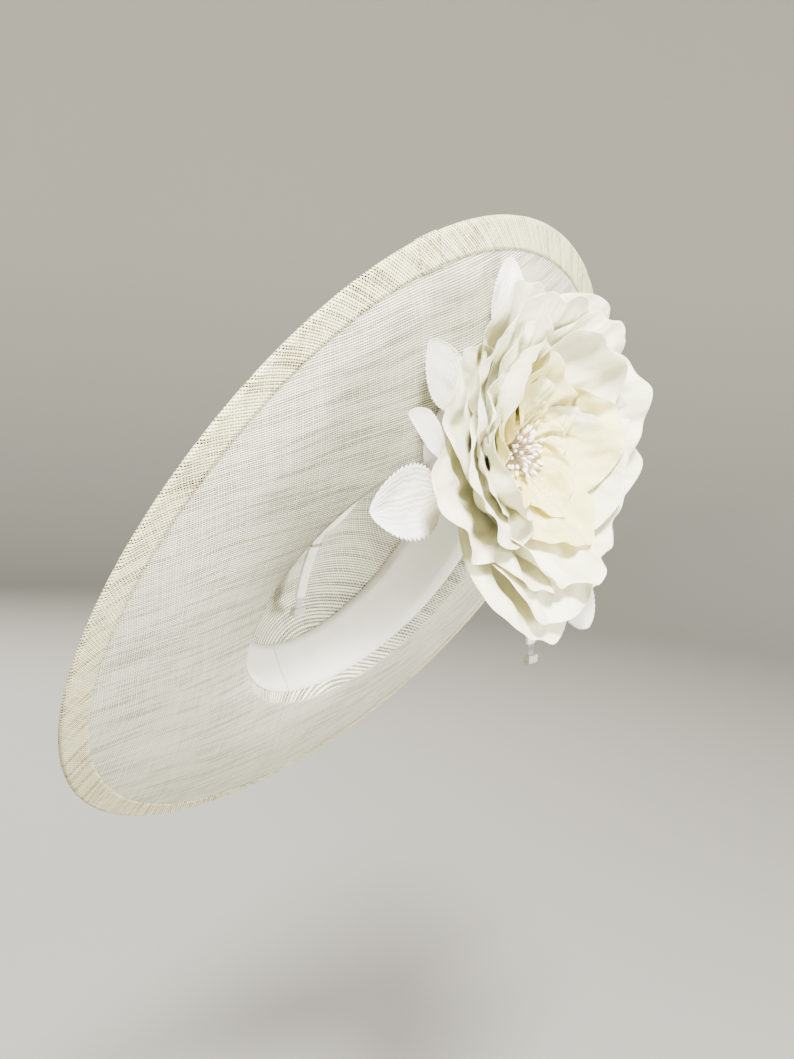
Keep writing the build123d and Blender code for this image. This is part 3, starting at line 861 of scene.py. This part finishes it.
def petal_lift(look, wild, phase, lean, dents, reach, angle, share, side):
    """How far a point of a petal stands off its bowl: curl, ruffle, dents, bumps and crumples."""
    curl, ruffle, ripples, tilt, _, crumple = look
    edge = smooth_step(0.5, 1.0, reach) * smooth_step(0.15, 0.6, share)
    inward = smooth_step(0.05, 0.35, share)
    lift = (tilt * MM * side + lean) * smooth_step(0.0, 0.6, share)
    roll = 0.6 + 0.8 * noise.noise(wild + Vector((1.3 * cos(angle), 1.3 * sin(angle), 9)))
    lift -= curl * MM * roll * edge ** 2 * smooth_step(0.3, 1.0, share)
    wave = sin(ripples * angle + phase + 1.4 * sin(2 * angle + phase))
    wave += 1.6 * noise.noise(wild + Vector((2.1 * cos(angle), 2.1 * sin(angle), 2.0)))
    lift += ruffle * MM * RUFFLE_SHARE * edge * wave
    for dent_side, dent_share, size, depth in dents:
        near = ((side - dent_side) / size) ** 2 + ((share - dent_share) / (0.7 * size)) ** 2
        lift -= depth * exp(-near)
    for height, across, along, seed, near_edge in PETAL_BUMPS:
        bump = noise.noise(wild + Vector((across * side, along * share, seed)))
        lift += height * (edge if near_edge else inward) * bump
    lift += RIDGE_HEIGHT * inward * ridged(wild + Vector((4.2 * side, 3.8 * share, 21)))
    fold = ridged(wild + Vector((2.4 * side + 1.2 * share, 2.2 * share, 5)))
    return lift + CRUMPLE_SHARE * crumple * MM * inward * fold


def petal(name, turn, radius, tip, root, half, look, seed):
    """One petal: a round-topped sheet laid on a bowl, then curled, ruffled, dented and crumpled."""
    points = []
    uvs = []
    wild = Vector((seed * 3.17, seed * 1.31, seed * 0.77))
    phase = 2 * pi * noise.noise(wild * 1.7 + Vector((5, 0, 0)))
    reach_share = petal_reach(turn) + LENGTH_STRAY * noise.noise(wild + Vector((0, 9, 0)))
    wide = half * (1 + WIDTH_STRAY * noise.noise(wild + Vector((2, 0, 8))))
    lean = LEAN_STRAY * noise.noise(wild + Vector((7, 7, 1)))
    lean += PETAL_CLOSING * max(0.0, -cos(turn)) * smooth_step(CLOSING_FROM, CLOSING_FULL, radius)
    notch_at = NOTCH_STRAY * noise.noise(wild + Vector((1, 6, 6)))
    dents = petal_dents(wild, look[4])
    run = radius - PETAL_ROOT
    for reach, angle in petal_samples():
        share = 0.5 + 0.5 * reach * cos(angle)
        side = reach * sin(angle)
        scallop = SCALLOP * sin(SCALLOPS * angle + phase)
        scallop += SCALLOP_STRAY * noise.noise(wild + Vector((2 * angle, 4, 4)))
        notch = NOTCH_DEPTH * exp(-((side - notch_at) / NOTCH_WIDTH) ** 2)
        share = share - (notch + scallop) * smooth_step(0.7, 1.0, share) * reach
        broad = ROOT_WIDTH + (1 - ROOT_WIDTH) * smooth_step(-0.1, 0.62, share)
        across = side * wide * broad
        bowl_share = max(share * reach_share, 0.02)
        out = PETAL_ROOT + run * bowl_share
        rise = root + (tip - root) * bowl_share ** PETAL_CURL
        steep = PETAL_CURL * (tip - root) * bowl_share ** (PETAL_CURL - 1)
        length = hypot(steep, run)
        lift = petal_lift(look, wild, phase, lean, dents, reach, angle, share, side)
        where = turn + across / max(out, TIGHTEST_BOWL * radius)
        reach_out = out - lift * steep / length
        height = rise + lift * run / length
        points.append(rose_point(reach_out * cos(where), reach_out * sin(where), height))
        uvs.append((0.5 + across / (2 * wide), share))
    faces = [(0, 1 + step, 1 + (step + 1) % PETAL_STEPS) for step in range(PETAL_STEPS)]
    for a, b, c, d in grid_faces(PETAL_RINGS, PETAL_STEPS, closed=True):
        faces.append((a + 1, d + 1, c + 1, b + 1))
    return subdivide(thicken(make_mesh(name, points, faces, uvs), PETAL_THICKNESS))


def add_petal(name, turn, radius, tip, root, half, look, seed, level, *nodes):
    """Makes a petal from sizes in millimetres and dresses it."""
    *shape, cloth, slot = look
    sizes = (radius * MM, (tip + level) * MM, (root + level) * MM, half * MM)
    made = petal(f"rose_petal_{name}", turn, *sizes, shape, seed)
    dress(made, cloth, slot, "hat", *nodes)
    1.25 * hypot(radius, tip - root) * MM


def rose():
    """The rings of petals, one for each petal of the CAD rose."""
    seed = 1
    for row, (name, count, radius, tip, root, half, look) in enumerate(ROWS):
        for index in range(count):
            seed += 1
            stray = ROW_STRAY * noise.noise(Vector((seed * 2.3, row, 1.5)))
            turn = 2 * pi * (index + ROW_TURN * row) / count + stray
            level = ROW_LEVEL * (2 if count % 2 and index == count - 1 else index % 2)
            which = f"{name}_{index + 1}"
            add_petal(which, turn, radius, tip, root, half, look, seed, level, f"petal_{which}")


def loose_petals(name, places, look, seed):
    """Petals set one by one between the even rings."""
    for index, (turn, radius, tip, root, half) in enumerate(places):
        add_petal(f"{name}_{index + 1}", radians(turn), radius, tip, root, half, look, seed + index, 0)


rose()
loose_petals("frill", FRILL_PETALS, FRILL_LOOK, FRILL_SEED)
loose_petals("heart", HEART_PETALS, HEART_LOOK, HEART_SEED)

# ---- stamens
STAMENS = 48
STAMEN_SPREAD = 13.0 * MM
STAMEN_FOOT = 2.0 * MM
STAMEN_TOP = 29.5 * MM
STAMEN_DOME = 3.0 * MM
STAMEN_BOW = 2.5 * MM
STAMEN_STRAY = 4.2 * MM
FOOT_HEIGHT = 16.0 * MM
FILAMENT_RADIUS = 0.22 * MM
FILAMENT_POINTS = 8
FILAMENT_SIDES = 6
BEAD_LENGTH = 3.8 * MM
BEAD_RADIUS = 1.0 * MM
BEAD_POINTS = 9
BEAD_NOD = 0.5
GOLDEN_TURN = pi * (3 - sqrt(5))


def bead_taper(share):
    """Radius of a bead along its length: a capsule with small flat ends."""
    return max(0.12, sin(pi * (0.06 + 0.88 * share)) ** 0.6)


def stamens():
    """Filaments packed like seeds in a head, a small pearly capsule on the end of each."""
    filaments = []
    beads = []
    for index in range(STAMENS):
        share = sqrt((index + 0.5) / STAMENS)
        turn = index * GOLDEN_TURN
        stray = noise.noise_vector(Vector((index * 1.9, 4.0, 2.0)))
        foot = rose_point(STAMEN_FOOT * share * cos(turn), STAMEN_FOOT * share * sin(turn), FOOT_HEIGHT)
        spread = STAMEN_SPREAD * share * (1 + 0.25 * stray.x)
        height = STAMEN_TOP - STAMEN_DOME * share ** 2 + STAMEN_STRAY * stray.y
        way_out = turn + 0.2 * stray.z
        top = rose_point(spread * cos(way_out), spread * sin(way_out), height)
        path = []
        for i in range(FILAMENT_POINTS):
            along = i / (FILAMENT_POINTS - 1)
            path.append(foot.lerp(top, along) + AXIS * (STAMEN_BOW * share * sin(pi * along)))
        filaments.append(tube(f"filament_{index}", path, FILAMENT_RADIUS, FILAMENT_SIDES))
        way = ((path[-1] - path[-3]).normalized() + BEAD_NOD * stray).normalized()
        capsule = [top + way * (BEAD_LENGTH * i / (BEAD_POINTS - 1)) for i in range(BEAD_POINTS)]
        beads.append(tube(f"bead_{index}", capsule, BEAD_RADIUS, taper=bead_taper))
    # the dark filaments are painted shade between the pearls
    dress(join("stamen_threads", filaments), THREAD_AND_PAINTED_SHADE, "thread", "hat", "stamen_filaments")
    dress(join("stamen_pearls", beads), PEARL, "pearl", "hat", "stamen_beads")


stamens()

# ---- leaves, sepals and stems
# node, root and tip in the rose's frame, width, roll in degrees and bend, with lengths in mm
LEAVES = (
    ("leaf_low_left", (-48.0, -20.0, 11.5), (-99.0, -27.0, 16.0), 38.0, 0.0, 4.0),
    ("leaf_left", (-40.0, 0.0, 9.5), (-70.0, 20.0, 16.0), 24.0, 20.0, 3.0),
    ("leaf_high_left", (-30.0, 22.0, 7.5), (-53.0, 55.0, 16.0), 26.0, -15.0, 3.0),
    ("leaf_top", (-2.0, 58.0, 15.0), (9.0, 100.0, 19.0), 28.0, 0.0, 2.0),
    ("leaf_right", (66.0, 28.0, 24.0), (102.0, 38.0, 30.0), 26.0, 0.0, 3.0),
    ("leaf_low_right", (30.0, -66.0, 23.0), (58.0, -93.0, 29.0), 30.0, 0.0, 4.0),
)
LEAF_ROWS = 109
LEAF_COLUMNS = 17
LEAF_THICKNESS = 0.35 * MM
LEAF_SWEEP = 0.02
LEAF_CUP = 0.09
LEAF_WAVE = 1.4 * MM
TEETH = 18
TOOTH_DEPTH = 0.12
VEINS = 7.5
VEIN_SLANT = 0.55
VEIN_HEIGHT = 0.35 * MM
MIDRIB_DEPTH = 0.55 * MM
MIDRIB_WIDTH = 0.07


def leaf_surface(s, t, length, width, bend, teeth):
    """A point of a leaf in its own frame, s from root to tip and t from edge to edge."""
    body = sin(pi * s ** 0.85) ** 0.62 if 0 < s < 1 else 0.0
    body = max(body, 0.05 * (1 - s))
    edge = 1 - TOOTH_DEPTH * ((s * teeth) % 1.0) * abs(t) ** 6
    x = length * (s + LEAF_SWEEP * abs(t) * body)
    y = width / 2 * body * t * edge
    vein = abs(((s - VEIN_SLANT * abs(t) * body) * VEINS) % 1.0 - 0.5) * 2
    z = -bend * s * s + LEAF_CUP * width * t * t * body
    z += VEIN_HEIGHT * (vein - 0.5) * min(1.0, 4 * abs(t)) * body
    z -= MIDRIB_DEPTH * exp(-(t / MIDRIB_WIDTH) ** 2)
    z += LEAF_WAVE * body * noise.noise(Vector((3 * s, 2.2 * t, length * 90)))
    return x, y, z


def leaf_frame(root, tip, roll):
    root = Vector(root) * MM
    tip = Vector(tip) * MM
    along = (tip - root).normalized()
    across = UP.cross(along).normalized()
    out = along.cross(across)
    lean = Matrix.Rotation(radians(roll), 3, along)
    return root, along, lean @ across, lean @ out, (tip - root).length


def leaf_blade(name, root, tip, width, roll, bend, teeth=TEETH, rows=LEAF_ROWS):
    origin, along, across, out, length = leaf_frame(root, tip, roll)
    points = []
    uvs = []
    for i in range(rows):
        s = i / (rows - 1)
        for j in range(LEAF_COLUMNS):
            t = -1 + 2 * j / (LEAF_COLUMNS - 1)
            x, y, z = leaf_surface(s, t, length, width * MM, bend * MM, teeth)
            place = origin + along * x + across * y + out * z
            points.append(rose_point(*place))
            uvs.append((0.5 + 0.5 * t, s))
    obj = make_mesh(name, points, grid_faces(rows, LEAF_COLUMNS), uvs)
    return thicken(obj, LEAF_THICKNESS)


WIRE_POINTS = 14
WIRE_END = 0.82
WIRE_BELOW = 0.55 * MM
WIRE_RADIUS = 0.45 * MM
STEM_POINTS = 18
STEM_OUT = 8 * MM
STEM_FOOT = 1.0 * MM
STEM_SHORT = 0.8 * MM
STEM_BELOW = 0.9 * MM
STEM_SAG = 1.6 * MM
STEM_RADIUS = 0.6 * MM
WIRE_SIDES = 8


def leaf_wire(name, root, tip, width, roll, bend):
    """Wire under the midrib, following the leaf's own bend."""
    origin, along, across, out, length = leaf_frame(root, tip, roll)
    path = []
    for i in range(WIRE_POINTS):
        s = WIRE_END * i / (WIRE_POINTS - 1)
        x, y, z = leaf_surface(s, 0.0, length, width * MM, bend * MM, 0)
        place = origin + along * x + across * y + out * (z - WIRE_BELOW)
        path.append(rose_point(*place))
    return tube(name, path, WIRE_RADIUS, WIRE_SIDES, lambda share: 1 - 0.5 * share)


def leaf_stem(name, root, tip):
    """Wrapped wire that leaves the back of the rose and curves out to a leaf's root."""
    root = Vector(root) * MM
    along = (Vector(tip) * MM - root).normalized()
    share = STEM_OUT / hypot(root.x, root.y)
    start = Vector((root.x * share, root.y * share, STEM_FOOT))
    end = root - along * STEM_SHORT - UP * STEM_BELOW
    path = []
    for i in range(STEM_POINTS):
        s = i / (STEM_POINTS - 1)
        path.append(rose_point(*(start.lerp(end, s) - UP * (STEM_SAG * sin(pi * s)))))
    return tube(name, path, STEM_RADIUS, WIRE_SIDES)


def leaves():
    stems = []
    for name, root, tip, width, roll, bend in LEAVES:
        blade = leaf_blade(f"{name}_cloth", root, tip, width, roll, bend)
        dress(blade, LEAF_CLOTH, "leaf_cloth", name, name)
        1.08 * (Vector(tip) - Vector(root)).length * MM
        wire = leaf_wire(f"{name}_wire", root, tip, width, roll, bend)
        dress(wire, WRAP, "stem_wrap", name, f"{name}_midrib")
        stems.append(leaf_stem(f"{name}_stem", root, tip))
    dress(join("leaf_stem_wires", stems), WRAP, "stem_wrap", "hat", "leaf_stems")


leaves()


SEPALS = 5
# distance from the rose's axis and height at a sepal's root and tip, its width and bend, in mm
SEPAL_ROOT = (3.4, 0.4)
SEPAL_TIP = (33.4, 5.0)
SEPAL_STAGGER = 0.5
SEPAL_WIDTH = 11.0
SEPAL_BEND = -1.0
SEPAL_ROWS = 30


def sepals():
    """Plain leaves in a star behind the rose, every second one a little higher."""
    pieces = []
    for i in range(SEPALS):
        turn = 2 * pi * (i + 0.5) / SEPALS
        ends = []
        for reach, height in (SEPAL_ROOT, SEPAL_TIP):
            ends.append((reach * cos(turn), reach * sin(turn), height + SEPAL_STAGGER * (i % 2)))
        pieces.append(leaf_blade(f"sepal_{i}", *ends, SEPAL_WIDTH, 0.0, SEPAL_BEND, 0, SEPAL_ROWS))
    for piece in pieces:
        bpy.context.view_layer.objects.active = piece
        bpy.ops.object.modifier_apply(modifier="cloth")
    sepal_cloth = dress(join("sepal_cloth", pieces), LEAF_CLOTH, "leaf_cloth", "hat", "sepals")


sepals()

# ---- headband
HEAD_HALF_WIDTH = 75.0 * MM
HEAD_HALF_HEIGHT = 112.0 * MM
BAND_WIDTH = 9.0 * MM
BAND_THICKNESS = 2.4 * MM
BAND_END = radians(80)
BAND_STEPS = 170
BAND_SIDES = 20
TAPE_PITCH = 9 * MM
TAPE_EDGE = 0.12 * MM


def band_point(turn, side, out):
    x = (HEAD_HALF_WIDTH + out) * sin(turn)
    z = -HEAD_HALF_HEIGHT + (HEAD_HALF_HEIGHT + out) * cos(turn)
    return Vector((x, side, z))


def headband_wrap():
    """Satin tape wound over the sprung core from tip to tip."""
    points = []
    uvs = []
    for step in range(BAND_STEPS + 1):
        turn = -BAND_END + 2 * BAND_END * step / BAND_STEPS
        length = turn * HEAD_HALF_HEIGHT
        for j in range(BAND_SIDES):
            around = 2 * pi * j / BAND_SIDES
            side = BAND_WIDTH / 2 * math.copysign(abs(cos(around)) ** 0.5, cos(around))
            out = BAND_THICKNESS / 2 * math.copysign(abs(sin(around)) ** 0.6, sin(around))
            lap = TAPE_EDGE * ((length / TAPE_PITCH + 0.5 * side / BAND_WIDTH) % 1.0)
            points.append(band_point(turn, side, BAND_THICKNESS / 2 + out * (1 - lap / BAND_THICKNESS)))
            uvs.append((length, side / BAND_WIDTH))
    faces = grid_faces(BAND_STEPS + 1, BAND_SIDES, closed=True)
    faces.append(tuple(reversed(range(BAND_SIDES))))
    faces.append(tuple(range(BAND_STEPS * BAND_SIDES, (BAND_STEPS + 1) * BAND_SIDES)))
    obj = make_mesh("headband_satin", points, faces, uvs)
    obj.data.materials.append(SATIN)
    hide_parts("headband_wrap", "headband_arm_wrap")
    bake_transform(obj)


headband_wrap()

# ---- materials of the CAD pieces that stay
KEPT = {
    "edge_wire": STEEL,
    "wire_joiner": STEEL,
    "headband_core": STEEL,
    "headband_arm_core": STEEL,
    "headband_tip_right": SATIN,
    "headband_tip_left": SATIN,
    "headband_stitches": THREAD_AND_PAINTED_SHADE,
    "flower_stem": WRAP,
}
for node, material in KEPT.items():
    mesh = frame["nodes"][node].data
    if not mesh.uv_layers:
        mesh.uv_layers.new(name="cloth")
    mesh.materials.clear()
    mesh.materials.append(material)

# ---- camera, light and backdrop
VIEW_AZIMUTH = radians(30)
VIEW_ELEVATION = radians(8)
VIEW_ROLL = radians(5)
VIEW_DISTANCE = 0.9
AIM = Vector((-7.4, -11.0, -41.4)) * MM
LENS = 55.3


def view_axes():
    """Right, up and backward directions of the camera."""
    right = Vector((cos(VIEW_AZIMUTH), sin(VIEW_AZIMUTH), 0))
    level = Vector((sin(VIEW_AZIMUTH), -cos(VIEW_AZIMUTH), 0))
    back = level * cos(VIEW_ELEVATION) + UP * sin(VIEW_ELEVATION)
    up = back.cross(right)
    turned_right = right * cos(VIEW_ROLL) + up * sin(VIEW_ROLL)
    turned_up = up * cos(VIEW_ROLL) - right * sin(VIEW_ROLL)
    return turned_right, turned_up, back


def camera():
    right, up, back = view_axes()
    data = bpy.data.cameras.new("camera")
    data.lens = LENS
    data.sensor_width = 36
    data.clip_end = 30
    obj = bpy.data.objects.new("camera", data)
    bpy.context.collection.objects.link(obj)
    turn = Matrix((right, up, back)).transposed()
    obj.matrix_world = Matrix.Translation(AIM + back * VIEW_DISTANCE) @ turn.to_4x4()
    bpy.context.scene.camera = obj


camera()

# name, direction in the camera's own axes, distance and size in metres, watts, colour
LIGHTS = (
    ("key", (0.10, 0.56, 0.82), 2.0, 0.40, 270, (1.0, 1.0, 0.96)),
    ("side", (0.94, -0.05, 0.33), 2.2, 0.9, 135, (1.0, 0.995, 0.95)),
    ("back", (-0.3, 0.55, -0.8), 2.2, 1.4, 105, (1.0, 0.98, 0.95)),
)
ROOM_COLOUR = rgb(0.80, 0.79, 0.77)
ROOM_STRENGTH = 0.48


def area_light(name, direction, distance, size, power, colour):
    """Soft light shining on the hat from one direction."""
    right, up, back = view_axes()
    way = (right * direction[0] + up * direction[1] + back * direction[2]).normalized()
    data = bpy.data.lights.new(name, "AREA")
    data.shape = "DISK"
    data.size = size
    data.energy = power
    data.color = colour
    obj = bpy.data.objects.new(name, data)
    bpy.context.collection.objects.link(obj)
    centre = (CAD_BOX[0] + CAD_BOX[1]) / 2
    obj.location = centre + way * distance
    obj.rotation_euler = way.to_track_quat("Z", "Y").to_euler()


for light in LIGHTS:
    area_light(*light)

world = bpy.data.worlds.new("room")
world.use_nodes = True
background = world.node_tree.nodes["Background"]
background.inputs["Color"].default_value = ROOM_COLOUR
background.inputs["Strength"].default_value = ROOM_STRENGTH
bpy.context.scene.world = world

# sizes of the backdrop in metres: floor below the hat, its radius, the sweep up to the wall, the wall
FLOOR_DROP = 0.35
FLOOR_RADIUS = 2.6
SWEEP = 0.8
WALL_HEIGHT = 2.6
SWEEP_STEPS = 12
ROUND_STEPS = 96


def backdrop():
    """Pale floor and walls in one sweep, far enough off to stay behind the hat from every side."""
    low = CAD_BOX[0].z - FLOOR_DROP
    profile = [(0.0, low), (FLOOR_RADIUS * 0.5, low), (FLOOR_RADIUS, low)]
    for i in range(1, SWEEP_STEPS + 1):
        turn = pi / 2 * i / SWEEP_STEPS
        profile.append((FLOOR_RADIUS + SWEEP * sin(turn), low + SWEEP * (1 - cos(turn))))
    profile.append((FLOOR_RADIUS + SWEEP, low + WALL_HEIGHT))
    points = []
    for reach, height in profile:
        for step in range(ROUND_STEPS):
            turn = 2 * pi * step / ROUND_STEPS
            points.append(Vector((reach * cos(turn), reach * sin(turn), height)))
    obj = make_mesh("floor", points, grid_faces(len(profile), ROUND_STEPS, closed=True))
    obj.data.materials.append(wall_paint("wall", FLOOR, WALL, low, low + SWEEP))


backdrop()
